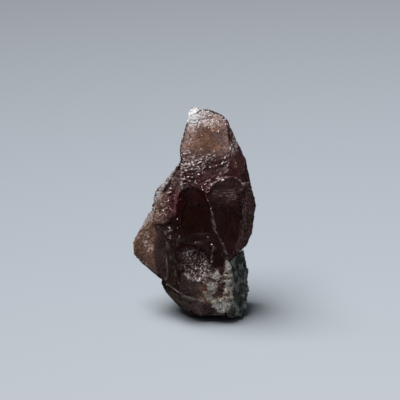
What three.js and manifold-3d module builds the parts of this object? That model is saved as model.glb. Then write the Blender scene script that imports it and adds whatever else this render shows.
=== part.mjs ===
// Axinite crystal standing on a scrap of its own host rock. Millimetres, +Z up, front toward -Y.
// The crystal is one grown solid of overlapping wedge-shaped blades with a broken foot. Two other
// minerals cling to the foot: a pale feldspar crust in front and dark green rock at the right.
// Every blade is the convex hull of its corners. Corners on a crystal face are laid on the plane
// of that face, so the face comes out truly flat.
import * as THREE from 'three';
import { ConvexGeometry } from 'three/addons/geometries/ConvexGeometry.js';
import { mergeVertices } from 'three/addons/utils/BufferGeometryUtils.js';
import Module from 'manifold-3d';

const wasm = await Module();
wasm.setup();

// ---------------------------------------------------------------- overall sizes
const STAND = 0.9; // the corner lists start this far above the table the specimen stands on
const BASE_Z = -STAND; // the broken underside that rests on the table
const WIDTH_HALF = 10; // tip of the left lobe and the right shoulder, either side of the middle
const DEPTH_HALF = 6.4; // crust in front, back wall behind
const TIP_Z = 34.4; // top of the frosted knob, counted like the corner lists
const CONTACT_GAP = 0.3; // open seam between the crystal and what clings to it

// ---------------------------------------------------------------- crystal faces
// A face is a plane given by one point on it and how far back it leans per mm to the right
// (leanX) and per mm upward (leanZ). Calling the face with x and z gives the corner on it.
const face = (at, leanX, leanZ) => (x, z) => [
  x,
  at[1] + leanX * (x - at[0]) + leanZ * (z - at[2]),
  z,
];

const crown = face([0, -1.9, 28.4], 0.02, 0.72); // frosted top face
const steps = face([0, -1.9, 28.4], 0.02, 0.47); // broken, stepped band under it
const blade = face([4.5, -4.7, 19], 0.34, 0.05); // big striated face at the right
const wall = face([0, -4.3, 19], 0.08, 0.06); // middle of the front, behind the scoop
const bowl = face([0, -4.9, 14], 0, 0.17); // upper part of the foot
const kick = face([0, -5.95, 6], 0.05, 0); // smooth upright face low on the foot
const under = face([0, -4.9, 0.6], 0, -0.32); // face that runs back in under the kick face
const strip = face([-3.5, -4.6, 9], -0.3, -0.02); // narrow face between foot and lobe
const leaf = face([-6, -2.6, 12], -0.75, 0.1); // front of the left lobe
const wing = face([-3.5, -3.4, 18], -0.55, 0.3); // rough shoulder above the lobe

// ---------------------------------------------------------------- broken ledges
// Narrow shelves across the stepped band: height of the shelf, its two ends, how far each end
// stands out of the face, and how far below the riser runs back into it.
const LEDGES = [
  { top: 27.7, left: -2.2, right: 2.6, outLeft: 0.3, outRight: 0.2, drop: 0.9 },
  { top: 27.1, left: 1.5, right: 5.5, outLeft: 0.35, outRight: 0.25, drop: 1 },
  { top: 26.3, left: -2.1, right: 4.1, outLeft: 0.25, outRight: 0.4, drop: 1 },
  { top: 25.5, left: 0.6, right: 5.7, outLeft: 0.4, outRight: 0.2, drop: 0.9 },
  { top: 24.8, left: -2, right: 2.2, outLeft: 0.35, outRight: 0.3, drop: 0.8 },
  { top: 23.7, left: -0.8, right: 2.3, outLeft: 0.3, outRight: 0.35, drop: 0.8 },
];
const LEDGE_ROOT = 0.8; // how deep a ledge is rooted in the crystal
const LEDGE_TAPER = 0.4; // the riser is this much narrower at its toe, at each end

// ---------------------------------------------------------------- conchoidal scoops
// Shell-shaped breaks, each an egg-shaped ball taken out of a front face: its centre, and its
// half-sizes along x, y and z.
const SCOOP_SEGMENTS = 40;
const SCOOP_RINGS = 26;
const MIDDLE_SCOOP = { centre: [0.5, -12.8, 18.6], halfSizes: [9.75, 9.75, 9.75] };
const FOOT_SCOOP = { centre: [0.2, -9.6, 13.2], halfSizes: [4.4, 6, 7.4] };

// ---------------------------------------------------------------- corner lists
const SPIRE = [
  crown(-1.2, 32.8), crown(0.8, 34), crown(2.2, 34), crown(3.7, 33.6),
  crown(4.8, 33.1), crown(5.4, 32.4), crown(-2, 30.3), crown(-2.4, 28.9),
  crown(-2.4, 28.4), crown(1.9, 28.2), crown(6, 28.5),
  steps(-2.2, 23.9), steps(1.7, 22.2), steps(4.6, 24.4),
  [5.9, 1.2, 30.7], [6.2, 0.6, 29.7], [8.4, 0.4, 26.3], [9, 0.2, 22.9], [9.6, 0.6, 19.7],
  [7.6, -3, 23.3],
  [1, 3.8, 33.2], [4.4, 4, 32.2], [5.4, 5.2, 26], [-1.2, 5.2, 27],
  [8.2, 4.6, 19], [-1.8, 5.8, 19], [5.8, 5.9, 15],
];

const SHIELD = [
  blade(1.7, 22), blade(2.2, 23), blade(3.3, 23.9), blade(4.7, 24.5),
  blade(6.1, 24.5), blade(7.3, 23.7), blade(7.9, 22.3), blade(8.2, 19.1),
  blade(7.7, 17.3), blade(7.4, 14.9), blade(5.7, 10.2), blade(3.8, 14.5),
  [9.1, 0.6, 22.4], [WIDTH_HALF, 1, 17.6], [9.7, 0.8, 15.2], [9.3, 0.6, 13], [8.7, 0.6, 10.6],
  [2.9, 3, 18], [6, 4.2, 8.5], [8.3, 5.4, 16.5],
];

const CORE = [
  wall(-2.4, 23.7), wall(1.7, 22.4), wall(5.5, 22.2), wall(5.5, 10), wall(2.2, 13.3),
  wall(-2.4, 13.8),
  [-3.8, -1, 20], [-4.6, -2.4, 13.2], [7.6, -1.6, 12.5], [5, 4.5, 6.5],
  [-2.2, 5.6, 6], [-3.1, 5.6, 15], [-0.8, 5.4, 21], [6.6, 5.6, 17],
];

const FOOT = [
  bowl(-2.4, 14), bowl(2, 13.7), bowl(-2.1, 7.9), bowl(2, 7),
  kick(-2.3, 4.7), kick(0.2, 3.6), kick(3.2, 3.3), kick(5.7, 3.6),
  strip(-4.6, 14.1), strip(-4.6, 5.8), [5.7, -4.9, 10],
  under(0.9, 0.6), under(5.6, 0.6), [-1.1, -3.6, 0.8],
  [-0.9, -1.7, BASE_Z], [0.8, -2.7, BASE_Z], [5.6, -2.8, BASE_Z],
  [-2.3, 2.2, BASE_Z], [-2.6, 4.2, BASE_Z], [5.6, 4.4, BASE_Z],
  [-3.2, -1, 1.1], [-5.1, -1.6, 3.4], [-5.7, -0.6, 4.3],
  [-4.8, 4.8, 4.5], [-3.4, DEPTH_HALF, 8], [4.6, 6, 8], [5.6, -1, 9.4],
];

const LOBE = [
  leaf(-7.2, 15.7), leaf(-4.6, 14.5), leaf(-7.4, 10.7), leaf(-8.3, 9.3), [-4.6, -4.4, 6.3],
  [-9.8, 0.6, 12.2], [-WIDTH_HALF, 0.4, 10.8], [-9.9, 0.2, 9.3], [-9.1, 0, 7.9],
  [-7.6, 0.2, 6.5], [-6.2, 0, 5], [-8.4, 1, 14.5], [-7.6, 1.4, 16.6],
  [-2.8, -3.8, 15.5], [-2.4, -3, 9.2],
  [-6.8, 4, 10.8], [-6.2, 3.6, 7], [-2.4, 5, 13.8], [-3, 5, 6.3],
];

const WING = [
  wing(-2.3, 26.6), wing(-5.5, 20.8), wing(-4.8, 19), wing(-2.2, 21.9),
  wing(-2.4, 19.4), wing(-4.8, 16.2), wing(-6.9, 15.8),
  [-7.2, 0.6, 17], [-8.2, 0.8, 14.7], [-2.3, 5, 13], [-2.8, 4.6, 22], [-7.2, 3.2, 13.6],
];

const BACK_WING = [
  [-3, 0.7, 24.4], [-3.6, 1, 23.2], [-4.8, 1.5, 21.9], [-6.5, 2.3, 19.9],
  [-6.8, 2.5, 18.3], [-7.3, 2.4, 16.4],
  [-3.2, 4.8, 22.4], [-5.2, 5.4, 18], [-1.4, -0.4, 24.2], [-1.4, 0.2, 15.9], [-5.8, 4.8, 12.9],
];

const KNOB = [
  [-0.55, 2.8, 34.35], [0, 2.9, TIP_Z], [0.6, 2.8, 34.3], [-0.95, 2.3, 33.95], [1, 2.4, 33.85],
  [-1.05, 1.4, 33.1], [-0.4, 1.15, 33], [0.6, 1.3, 33.05], [1, 1.6, 33.2],
  [-1.3, 0.76, 32.2], [-0.4, 0.58, 32], [0.5, 0.76, 32.2],
  [-0.7, 3.9, 33.2], [0.7, 4, 33.2], [0, 3.6, 32], [-1.1, 2.6, 32],
];

const CRUST = [
  [5.1, -5.2, 10], [3.2, -6, 9.4], [1.4, -DEPTH_HALF, 6.6], [1.8, -DEPTH_HALF, 4.5],
  [3.4, -6.3, 3.2], [5.7, -6.2, 3.6], [4.5, -5.9, 1], [5.7, -5.8, 1], [5.7, -5.8, 8.8],
  [5.2, -3.2, 9.1], [3.2, -3.6, 8.2], [1.9, -4.2, 5.8], [3.5, -4.4, 2.9], [5.7, -4, 1.4],
];

const ROCK = [
  [6.3, -2.8, 10.1], [8.1, 0.6, 9.5], [5.9, -4.6, 8.8], [5.8, -5.2, 3.4],
  [8.6, -1.8, 1.2], [8.8, -1, 4.1], [8.6, -0.6, 6.8],
  [8, 3.5, 8.6], [8.4, 5, 6.5], [6.4, 5.4, 7.5],
  [5.9, -4.9, 0.4], [7.7, -4.2, 0.3],
  [8.6, 0.5, 0.2], [8.6, 4.5, 0.3],
  [5.9, -3, BASE_Z], [7.4, -2.4, BASE_Z], [8.3, 0.6, BASE_Z], [8.4, 4.2, BASE_Z],
  [6, 4.3, BASE_Z],
];

// ---------------------------------------------------------------- solids
function solidFrom(geometry) {
  geometry.deleteAttribute('normal');
  geometry.deleteAttribute('uv');
  const welded = mergeVertices(geometry, 1e-5);
  return new wasm.Manifold(new wasm.Mesh({
    numProp: 3,
    vertProperties: new Float32Array(welded.attributes.position.array),
    triVerts: new Uint32Array(welded.index.array),
  }));
}

function hullOf(corners) {
  const points = corners.map((corner) => new THREE.Vector3(...corner));
  return solidFrom(new ConvexGeometry(points));
}

// The same hull pushed outward by the contact gap on every side, used to open the seam.
function hullWithGap(corners) {
  const box = new THREE.Box3().setFromPoints(corners.map((c) => new THREE.Vector3(...c)));
  const middle = box.getCenter(new THREE.Vector3());
  const size = box.getSize(new THREE.Vector3());
  const grow = size.clone().addScalar(2 * CONTACT_GAP).divide(size);
  const grown = corners.map((c) => new THREE.Vector3(...c).sub(middle).multiply(grow).add(middle));
  return solidFrom(new ConvexGeometry(grown));
}

function ledgeOf({ top, left, right, outLeft, outRight, drop }) {
  const shifted = ([x, y, z], back) => [x, y + back, z];
  const toeLeft = steps(left + LEDGE_TAPER, top - drop);
  const toeRight = steps(right - LEDGE_TAPER, top - drop);
  return hullOf([
    shifted(steps(left, top), -outLeft),
    shifted(steps(right, top), -outRight),
    toeLeft,
    toeRight,
    shifted(steps(left, top), LEDGE_ROOT),
    shifted(steps(right, top), LEDGE_ROOT),
    shifted(toeLeft, LEDGE_ROOT),
    shifted(toeRight, LEDGE_ROOT),
  ]);
}

function scoopOf({ centre, halfSizes }) {
  const ball = new THREE.SphereGeometry(1, SCOOP_SEGMENTS, SCOOP_RINGS);
  ball.rotateX(Math.PI / 2);
  ball.scale(...halfSizes);
  ball.translate(...centre);
  return solidFrom(ball);
}

function crystalSolid() {
  const core = hullOf(CORE).subtract(scoopOf(MIDDLE_SCOOP));
  const foot = hullOf(FOOT).subtract(scoopOf(FOOT_SCOOP));
  const blades = [SPIRE, SHIELD, LOBE, WING, BACK_WING, KNOB].map(hullOf);
  const ledges = LEDGES.map(ledgeOf);
  return [...blades, ...ledges]
    .reduce((grown, part) => grown.add(part), core.add(foot))
    .subtract(hullWithGap(CRUST))
    .subtract(hullWithGap(ROCK));
}

function crustSolid() {
  return hullOf(CRUST).subtract(hullWithGap(ROCK));
}

function rockSolid() {
  return hullOf(ROCK);
}

// ---------------------------------------------------------------- meshes
function meshFrom(solid, name, material) {
  const { vertProperties, triVerts } = solid.getMesh();
  const indexed = new THREE.BufferGeometry();
  indexed.setAttribute('position', new THREE.BufferAttribute(vertProperties, 3));
  indexed.setIndex(new THREE.BufferAttribute(triVerts, 1));
  const flat = indexed.toNonIndexed();
  flat.computeVertexNormals();
  const mesh = new THREE.Mesh(flat, material);
  mesh.name = name;
  mesh.position.z = STAND;
  return mesh;
}

const axiniteMaterial = () => new THREE.MeshStandardMaterial({
  color: 0x4a2c28,
  roughness: 0.18,
  metalness: 0,
});

const feldsparMaterial = () => new THREE.MeshStandardMaterial({
  color: 0xcdb9a2,
  roughness: 0.75,
  metalness: 0,
});

const greenRockMaterial = () => new THREE.MeshStandardMaterial({
  color: 0x3d443b,
  roughness: 0.85,
  metalness: 0,
});

const specimen = new THREE.Group();
specimen.name = 'axinite_specimen';
specimen.add(meshFrom(crystalSolid(), 'axinite_crystal', axiniteMaterial()));
specimen.add(meshFrom(crustSolid(), 'feldspar_crust', feldsparMaterial()));
specimen.add(meshFrom(rockSolid(), 'green_matrix', greenRockMaterial()));

export default specimen;
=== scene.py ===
from itertools import combinations

import bpy
import numpy as np
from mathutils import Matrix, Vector


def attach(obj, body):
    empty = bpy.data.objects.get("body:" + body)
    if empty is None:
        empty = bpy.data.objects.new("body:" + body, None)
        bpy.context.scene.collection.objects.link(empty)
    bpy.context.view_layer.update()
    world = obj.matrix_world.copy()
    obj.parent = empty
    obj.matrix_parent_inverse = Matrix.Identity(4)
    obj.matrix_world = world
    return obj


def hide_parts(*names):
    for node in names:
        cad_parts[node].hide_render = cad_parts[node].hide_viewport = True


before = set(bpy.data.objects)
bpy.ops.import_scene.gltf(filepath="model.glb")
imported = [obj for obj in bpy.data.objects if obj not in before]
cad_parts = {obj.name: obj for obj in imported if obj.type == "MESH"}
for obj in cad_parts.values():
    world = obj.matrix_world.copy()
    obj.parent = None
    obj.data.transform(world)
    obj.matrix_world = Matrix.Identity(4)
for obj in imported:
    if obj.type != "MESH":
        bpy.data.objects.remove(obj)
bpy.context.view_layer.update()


# ------------------------------------------------------------
# Camera. A long lens held about twenty degrees above the table, straight in front.
# ------------------------------------------------------------
LOOK_AT = Vector((0.00086, 0.0, 0.01995))
CAMERA_DISTANCE = 0.367
CAMERA_LIFT = np.radians(20.0)

camera_data = bpy.data.cameras.new("studio_camera")
camera_data.lens = 200.0
camera_data.sensor_width = 36.0
camera_data.clip_start = 0.01
camera_data.clip_end = 20.0
camera = bpy.data.objects.new("studio_camera", camera_data)
bpy.context.scene.collection.objects.link(camera)
camera.location = LOOK_AT + Vector((0.0, -np.cos(CAMERA_LIFT), np.sin(CAMERA_LIFT))) * CAMERA_DISTANCE
camera.rotation_euler = (LOOK_AT - camera.location).to_track_quat("-Z", "Y").to_euler()
bpy.context.scene.camera = camera

bpy.context.scene.view_settings.view_transform = "Standard"
bpy.context.scene.view_settings.look = "None"


# ------------------------------------------------------------
# Studio light. One wide softbox hangs overhead, to the left and a little in front of the
# crystal, in an almost dark room, so that upright glassy faces mirror the dark and stay deep.
# ------------------------------------------------------------
SOFTBOX_PLACE = Vector((-0.155, -0.035, 0.49))
SOFTBOX_WIDTH = 0.42
SOFTBOX_DEPTH = 0.28
SOFTBOX_WATTS = 2.8
LAMP_WHITE = (1.0, 0.99, 0.975)
ROOM_BLUE = (0.80, 0.90, 1.0, 1.0)
ROOM_STRENGTH = 0.045

softbox_data = bpy.data.lights.new("overhead_softbox", "AREA")
softbox_data.shape = "RECTANGLE"
softbox_data.size = SOFTBOX_WIDTH
softbox_data.size_y = SOFTBOX_DEPTH
softbox_data.energy = SOFTBOX_WATTS
softbox_data.color = LAMP_WHITE
softbox = bpy.data.objects.new("overhead_softbox", softbox_data)
bpy.context.scene.collection.objects.link(softbox)
softbox.location = SOFTBOX_PLACE
softbox.rotation_euler = (-SOFTBOX_PLACE).to_track_quat("-Z", "Y").to_euler()

room = bpy.data.worlds.new("dim_room")
bpy.context.scene.world = room
room.use_nodes = True
room.node_tree.nodes["Background"].inputs["Color"].default_value = ROOM_BLUE
room.node_tree.nodes["Background"].inputs["Strength"].default_value = ROOM_STRENGTH


# ------------------------------------------------------------
# Floor. A broad sheet of matt pale blue-grey paper that curves up far behind the crystal. It is
# painted paler in front and to the right as painted light falloff, and faintly mottled.
# ------------------------------------------------------------
PAPER_HALF_WIDTH = 2.2
PAPER_FRONT = -2.0
PAPER_BACK = 2.4
PAPER_BEND = 0.9  # metres behind the crystal where the sheet starts to rise
PAPER_CURL = 0.55
PAPER_LEVEL = -0.00004  # the sheet lies a hair under the foot
PAPER_PAINTED_FALLOFF = (-0.06, 0.22)  # from front to back, where painted light falloff darkens its colour
PAPER_PAINTED_RIGHT_LIGHT = 2.0  # painted light: how much paler it grows with each metre to the right
PAPER_LIT_FRONT_BLUE = (0.62, 0.665, 0.70)
PAPER_MIDDLE_BLUE = (0.545, 0.602, 0.678)
PAPER_SHADED_BACK_BLUE = (0.475, 0.515, 0.565)


def link_mesh(name, points, faces):
    """Puts an array of points and an array of equal-sided faces into a new mesh object."""
    mesh = bpy.data.meshes.new(name)
    mesh.from_pydata(points.tolist(), [], faces.tolist())
    mesh.update()
    piece = bpy.data.objects.new(name, mesh)
    bpy.context.scene.collection.objects.link(piece)
    return piece


def paper_sweep(columns=41, rows=61):
    """Flat near the crystal; beyond the bend the height grows with the square of the distance."""
    across, along = np.meshgrid(np.linspace(-PAPER_HALF_WIDTH, PAPER_HALF_WIDTH, columns),
                                np.linspace(PAPER_FRONT, PAPER_BACK, rows))
    height = PAPER_LEVEL + PAPER_CURL * np.clip(along - PAPER_BEND, 0, None) ** 2
    points = np.stack([across, along, height], -1).reshape(-1, 3)
    corner = (np.arange(rows - 1)[:, None] * columns + np.arange(columns - 1)[None, :]).reshape(-1)
    faces = np.stack([corner, corner + 1, corner + columns + 1, corner + columns], -1)
    return points, faces


def new_node(tree, kind, **settings):
    """Adds a shader node and sets its plain properties."""
    node = tree.nodes.new(kind)
    for key, value in settings.items():
        setattr(node, key, value)
    return node


def new_finish(name):
    """A fresh material: the material, its node tree, its shader and its object coordinates."""
    finish = bpy.data.materials.new(name)
    finish.use_nodes = True
    tree = finish.node_tree
    place = new_node(tree, "ShaderNodeTexCoord").outputs["Object"]
    return finish, tree, tree.nodes["Principled BSDF"], place


def reckon(tree, operation, a, b, held=False):
    """A Math node on two inputs, each a socket or a number; held keeps the answer within 0 and 1."""
    node = new_node(tree, "ShaderNodeMath", operation=operation, use_clamp=held)
    for socket, value in zip(node.inputs, (a, b)):
        if isinstance(value, (int, float)):
            socket.default_value = value
        else:
            tree.links.new(value, socket)
    return node.outputs[0]


def times(tree, a, b, held=False):
    """One input multiplied by the other."""
    return reckon(tree, "MULTIPLY", a, b, held)


def plus(tree, a, b, held=False):
    """The two inputs added up."""
    return reckon(tree, "ADD", a, b, held)


def noise(tree, place, scale, detail, rough=0.5):
    """A noise texture on object coordinates, scale in waves per metre."""
    node = new_node(tree, "ShaderNodeTexNoise")
    node.inputs["Scale"].default_value = scale
    node.inputs["Detail"].default_value = detail
    node.inputs["Roughness"].default_value = rough
    tree.links.new(place, node.inputs["Vector"])
    return node.outputs["Fac"]


def ramp(tree, value, stops):
    """A colour ramp through the given (position, colour) stops."""
    node = new_node(tree, "ShaderNodeValToRGB")
    elements = node.color_ramp.elements
    while len(elements) < len(stops):
        elements.new(0.5)
    for element, (position, colour) in zip(elements, stops):
        element.position = position
        element.color = (*colour, 1)
    tree.links.new(value, node.inputs["Fac"])
    return node.outputs["Color"]


floor = link_mesh("paper_floor", *paper_sweep())
floor.data.shade_smooth()
paper, tree, coat, place = new_finish("matt_paper")
coat.inputs["Roughness"].default_value = 0.85
coat.inputs["Specular IOR Level"].default_value = 0.25
on_sheet = new_node(tree, "ShaderNodeSeparateXYZ")
tree.links.new(place, on_sheet.inputs["Vector"])
backward = new_node(tree, "ShaderNodeMapRange")
backward.inputs["From Min"].default_value = PAPER_PAINTED_FALLOFF[0]
backward.inputs["From Max"].default_value = PAPER_PAINTED_FALLOFF[1]
# Painted light: the ramp darkens the paper toward the back and the gain pales it toward the right.
mottled_back = plus(tree, times(tree, noise(tree, place, 3, 2), 0.03), on_sheet.outputs["Y"])
tree.links.new(mottled_back, backward.inputs["Value"])
painted_falloff = ramp(tree, backward.outputs["Result"],
              [(0.0, PAPER_LIT_FRONT_BLUE), (0.35, PAPER_MIDDLE_BLUE), (1.0, PAPER_SHADED_BACK_BLUE)])
painted_light_tone = new_node(tree, "ShaderNodeVectorMath", operation="SCALE")
tree.links.new(painted_falloff, painted_light_tone.inputs[0])
painted_right_light = times(tree, on_sheet.outputs["X"], PAPER_PAINTED_RIGHT_LIGHT)
tree.links.new(plus(tree, painted_right_light, 1.015), painted_light_tone.inputs["Scale"])
tree.links.new(painted_light_tone.outputs[0], coat.inputs["Base Color"])
floor.data.materials.append(paper)


# ------------------------------------------------------------
# Black card. A folded card lies over the paper and stands up in front of the crystal. Only
# mirror-like faces see it, so upright glassy faces stay dark instead of mirroring the paper.
# ------------------------------------------------------------
CARD_HALF_SIDE = 1.6
CARD_GAP = 0.0003  # metres above the paper
CARD_RISE = 1.1


def folded_card(half_side, height, rise):
    """Two rectangles: one flat at the given height, one upright along its front edge."""
    fold = np.array([(half_side, height), (-half_side, height), (-half_side, rise)])
    points = np.array([(side * half_side, y, z) for y, z in fold for side in (-1, 1)])
    return points, np.array([(0, 1, 3, 2), (2, 3, 5, 4)])


card = link_mesh("black_card", *folded_card(CARD_HALF_SIDE, CARD_GAP, CARD_RISE))
card.visible_camera = False
card.visible_diffuse = False
card.visible_shadow = False
card.visible_transmission = False
card.visible_volume_scatter = False
felt, tree, cloth, place = new_finish("black_felt")
cloth.inputs["Base Color"].default_value = (0.006, 0.006, 0.007, 1)
cloth.inputs["Roughness"].default_value = 1.0
cloth.inputs["Specular IOR Level"].default_value = 0.0
card.data.materials.append(felt)


# ------------------------------------------------------------
# Axinite crystal. One grown solid of clove-brown glassy borosilicate: overlapping wedge blades,
# two shell-shaped breaks in front, a hackly stepped band, and a broken foot it stands on.
# ------------------------------------------------------------
MM = 0.001  # the crystal is laid out in millimetres, front toward -Y, and stored in metres
STAND = 0.9  # the layout starts this many millimetres above the table
FAR_OFF = 9.0  # farther than any edge or border that is looked for


def face(at, lean_x, lean_z):
    """The corner on a plane: how far back it lies grows evenly with x and with z."""
    return lambda x, z: (x, at[1] + lean_x * (x - at[0]) + lean_z * (z - at[2]), z)


# The crystal faces and the flat breaks on the front, each by one point on it and how it leans.
crown = face((0, -1.9, 28.4), 0.02, 0.72)
steps = face((0, -1.9, 28.4), 0.02, 0.47)
blade = face((4.5, -4.7, 19), 0.34, 0.05)
wall = face((0, -4.3, 19), 0.08, 0.06)
bowl = face((0, -4.9, 14), 0, 0.17)
kick = face((0, -5.95, 6), 0.05, 0)
under = face((0, -4.9, 0.6), 0, -0.32)
strip = face((-3.5, -4.6, 9), -0.3, -0.02)
leaf = face((-6, -2.6, 12), -0.75, 0.1)
wing = face((-3.5, -3.4, 18), -0.55, 0.3)

# The corners of each blade, which is the solid drawn tight around them: front, sides, back.
BLADES = {
    "spire": [
        crown(-1.2, 32.8), crown(0.8, 34), crown(2.2, 34), crown(3.7, 33.6), crown(4.8, 33.1),
        crown(5.4, 32.4), crown(-2, 30.3), crown(-2.4, 28.9), crown(-2.4, 28.4),
        crown(1.9, 28.2), crown(6.0, 28.5), steps(-2.2, 23.9), steps(1.7, 22.2), steps(4.6, 24.4),
        (5.9, 1.2, 30.7), (6.2, 0.6, 29.7), (8.4, 0.4, 26.3), (9, 0.2, 22.9), (9.6, 0.6, 19.7),
        (7.6, -3, 23.3), (1, 3.8, 33.2), (4.4, 4, 32.2), (5.4, 5.2, 26), (-1.2, 5.2, 27),
        (8.2, 4.6, 19), (-1.8, 5.8, 19), (5.8, 5.9, 15)],
    "shield": [
        blade(1.7, 22), blade(2.2, 23), blade(3.3, 23.9), blade(4.7, 24.5), blade(6.1, 24.5),
        blade(7.3, 23.7), blade(7.9, 22.3), blade(8.2, 19.1), blade(7.7, 17.3),
        blade(7.4, 14.9), blade(5.7, 10.2), blade(3.8, 14.5),
        (9.1, 0.6, 22.4), (10.25, 1, 17.7), (9.95, 0.8, 15.2), (9.5, 0.6, 13), (8.7, 0.6, 10.6),
        (2.9, 3, 18), (6, 4.2, 8.5), (8.3, 5.4, 16.5)],
    "core": [
        wall(-2.4, 23.7), wall(1.7, 22.4), wall(5.5, 22.2), wall(5.5, 10), wall(2.2, 13.3),
        wall(-2.4, 13.8), (-3.8, -1, 20), (-4.6, -2.4, 13.2), (7.6, -1.6, 12.5),
        (5, 4.5, 6.5), (-2.2, 5.6, 6), (-3.1, 5.6, 15), (-0.8, 5.4, 21), (6.6, 5.6, 17)],
    "foot": [
        bowl(-2.4, 14), bowl(2, 13.7), bowl(-2.1, 7.9), bowl(2, 7), kick(-2.3, 4.7),
        kick(0.2, 3.6), kick(3.2, 3.3), kick(5.7, 3.6), strip(-4.6, 14.1), strip(-4.6, 5.8),
        (5.7, -4.9, 10), under(0.9, 0.6), under(5.6, 0.6), (-1.1, -3.6, 0.8),
        (-0.9, -1.7, -STAND), (0.8, -2.7, -STAND), (5.6, -2.8, -STAND), (-2.3, 2.2, -STAND),
        (-2.6, 4.2, -STAND), (5.6, 4.4, -STAND),
        (-3.2, -1, 1.1), (-4.95, -1.6, 3.45), (-5.5, -0.6, 4.45),
        (-4.8, 4.8, 4.5), (-3.4, 6.4, 8), (4.6, 6, 8), (5.6, -1, 9.4)],
    "lobe": [
        leaf(-7.2, 15.7), leaf(-4.6, 14.5), leaf(-7.4, 10.7), leaf(-8.3, 9.3), (-4.6, -4.4, 6.3),
        (-9.9, 0.6, 12.2), (-10.4, 0.4, 10.8), (-10.1, 0.2, 9.3), (-8.8, 0, 7.9), (-7.2, 0.2, 6.6),
        (-5.9, 0.1, 5.2), (-8.4, 1, 14.5), (-7.6, 1.4, 16.6), (-2.8, -3.8, 15.5),
        (-2.4, -3, 9.2), (-6.8, 4, 10.8), (-6.2, 3.6, 7), (-2.4, 5, 13.8), (-3, 5, 6.3)],
    "wing": [
        wing(-2.3, 26.6), wing(-5.5, 20.8), wing(-4.8, 19), wing(-2.2, 21.9), wing(-2.4, 19.4),
        wing(-4.8, 16.2), wing(-6.9, 15.8), (-7.2, 0.6, 17), (-8.2, 0.8, 14.7),
        (-2.3, 5, 13), (-2.8, 4.6, 22), (-7.2, 3.2, 13.6)],
    "back_wing": [
        (-3, 0.7, 24.4), (-3.6, 1, 23.2), (-4.8, 1.5, 21.9), (-6.5, 2.3, 19.9),
        (-6.8, 2.5, 18.3), (-7.3, 2.4, 16.4), (-3.2, 4.8, 22.4), (-5.2, 5.4, 18),
        (-1.4, -0.4, 24.2), (-1.4, 0.2, 15.9), (-5.8, 4.8, 12.9)],
    "knob": [
        (-0.55, 2.8, 34.35), (0, 2.9, 34.4), (0.6, 2.8, 34.3), (-0.95, 2.3, 33.95), (1, 2.4, 33.85),
        (-1.05, 1.4, 33.1), (-0.4, 1.15, 33), (0.6, 1.3, 33.05), (1, 1.6, 33.2),
        (-1.3, 0.76, 32.2), (-0.4, 0.58, 32), (0.5, 0.76, 32.2),
        (-0.7, 3.9, 33.2), (0.7, 4, 33.2), (0, 3.6, 32), (-1.1, 2.6, 32)],
}
BLADE_NAMES = list(BLADES)
# The shell-shaped breaks, by the middle and the radii of the ball that hollows each one.
SCOOPS = {"core": ((0.5, -12.8, 18.6), (9.75, 9.75, 9.75)), "foot": ((0.2, -9.6, 13.2), (4.4, 6.0, 7.4))}
TOUCHING = 1e-3  # a corner this close to a plane lies on it


def hull_planes(corners):
    """Every plane through three corners that leaves no other corner outside: outward normals, offsets."""
    corners = np.array(corners, float)
    trios = np.array(list(combinations(range(len(corners)), 3)))
    a, b, c = corners[trios[:, 0]], corners[trios[:, 1]], corners[trios[:, 2]]
    normal = np.cross(b - a, c - a)
    length = np.linalg.norm(normal, axis=1)
    kept = length > 1e-6
    normal, a = normal[kept] / length[kept, None], a[kept]
    side = np.einsum("tk,nk->tn", normal, corners) - np.einsum("tk,tk->t", normal, a)[:, None]
    flip = side.max(1) > TOUCHING
    normal[flip] *= -1
    side[flip] *= -1
    kept = side.max(1) <= TOUCHING
    normal, a = normal[kept], a[kept]
    offset = np.einsum("tk,tk->t", normal, a)
    _, first = np.unique(np.round(np.c_[normal, offset], 2), axis=0, return_index=True)
    return normal[first], offset[first]


def ray_fan(columns, rows, spine, turn_low, turn_high, crowding, caps=(0.20, 0.80)):
    """Rays from a spine. Up the rows the start climbs the spine while the ray tips from straight down,
    through level, to straight up; round the columns it turns once, crowded toward the front."""
    turn = np.arange(columns) / columns * 2 * np.pi
    round_ = turn - crowding * np.cos(turn)
    share = np.linspace(0, 1, rows)
    tip = np.interp(share, [0, *caps, 1], [-90, turn_low, turn_high, 90])
    climb = np.interp(share, [0, *caps, 1], [0, 0, 1, 1])
    spine = np.array(spine, float)
    knots = (spine[:, 2] - spine[0, 2]) / (spine[-1, 2] - spine[0, 2])
    start = np.stack([np.interp(climb, knots, spine[:, k]) for k in range(3)], -1)
    tip = np.radians(tip)[:, None]
    way = np.stack([np.cos(tip) * np.cos(round_), np.cos(tip) * np.sin(round_),
                    np.sin(tip) * np.ones_like(round_)], -1)
    return np.repeat(start[:, None, :], columns, 1).reshape(-1, 3), way.reshape(-1, 3)


def cast_to_hull(start, way, planes):
    """Where each ray leaves a hull: the smallest distance to a plane it runs toward, if it ever gets in."""
    normal, offset = planes
    speed = way @ normal.T
    gap = offset - start @ normal.T
    with np.errstate(divide="ignore", invalid="ignore"):
        reach = gap / speed
    leave = np.where(speed > 1e-9, reach, np.inf)
    enter = np.where(speed < -1e-9, reach, -np.inf)
    facet = leave.argmin(1)
    out = leave[np.arange(len(way)), facet]
    missed = (enter.max(1) > out) | (out < 0)
    return np.where(missed, -1.0, out), facet


def first_touch(start, way, ball):
    """Distance along each ray to the near side of an egg-shaped ball, or far away if it misses."""
    centre, radii = np.array(ball, float)
    from_centre, step = (start - centre) / radii, way / radii
    a = np.einsum("ij,ij->i", step, step)
    b = np.einsum("ij,ij->i", from_centre, step)
    c = np.einsum("ij,ij->i", from_centre, from_centre) - 1
    inside = b * b - a * c
    near = (-b - np.sqrt(np.clip(inside, 0, None))) / a
    return np.where((inside > 0) & (near > 0), near, np.inf)


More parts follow.
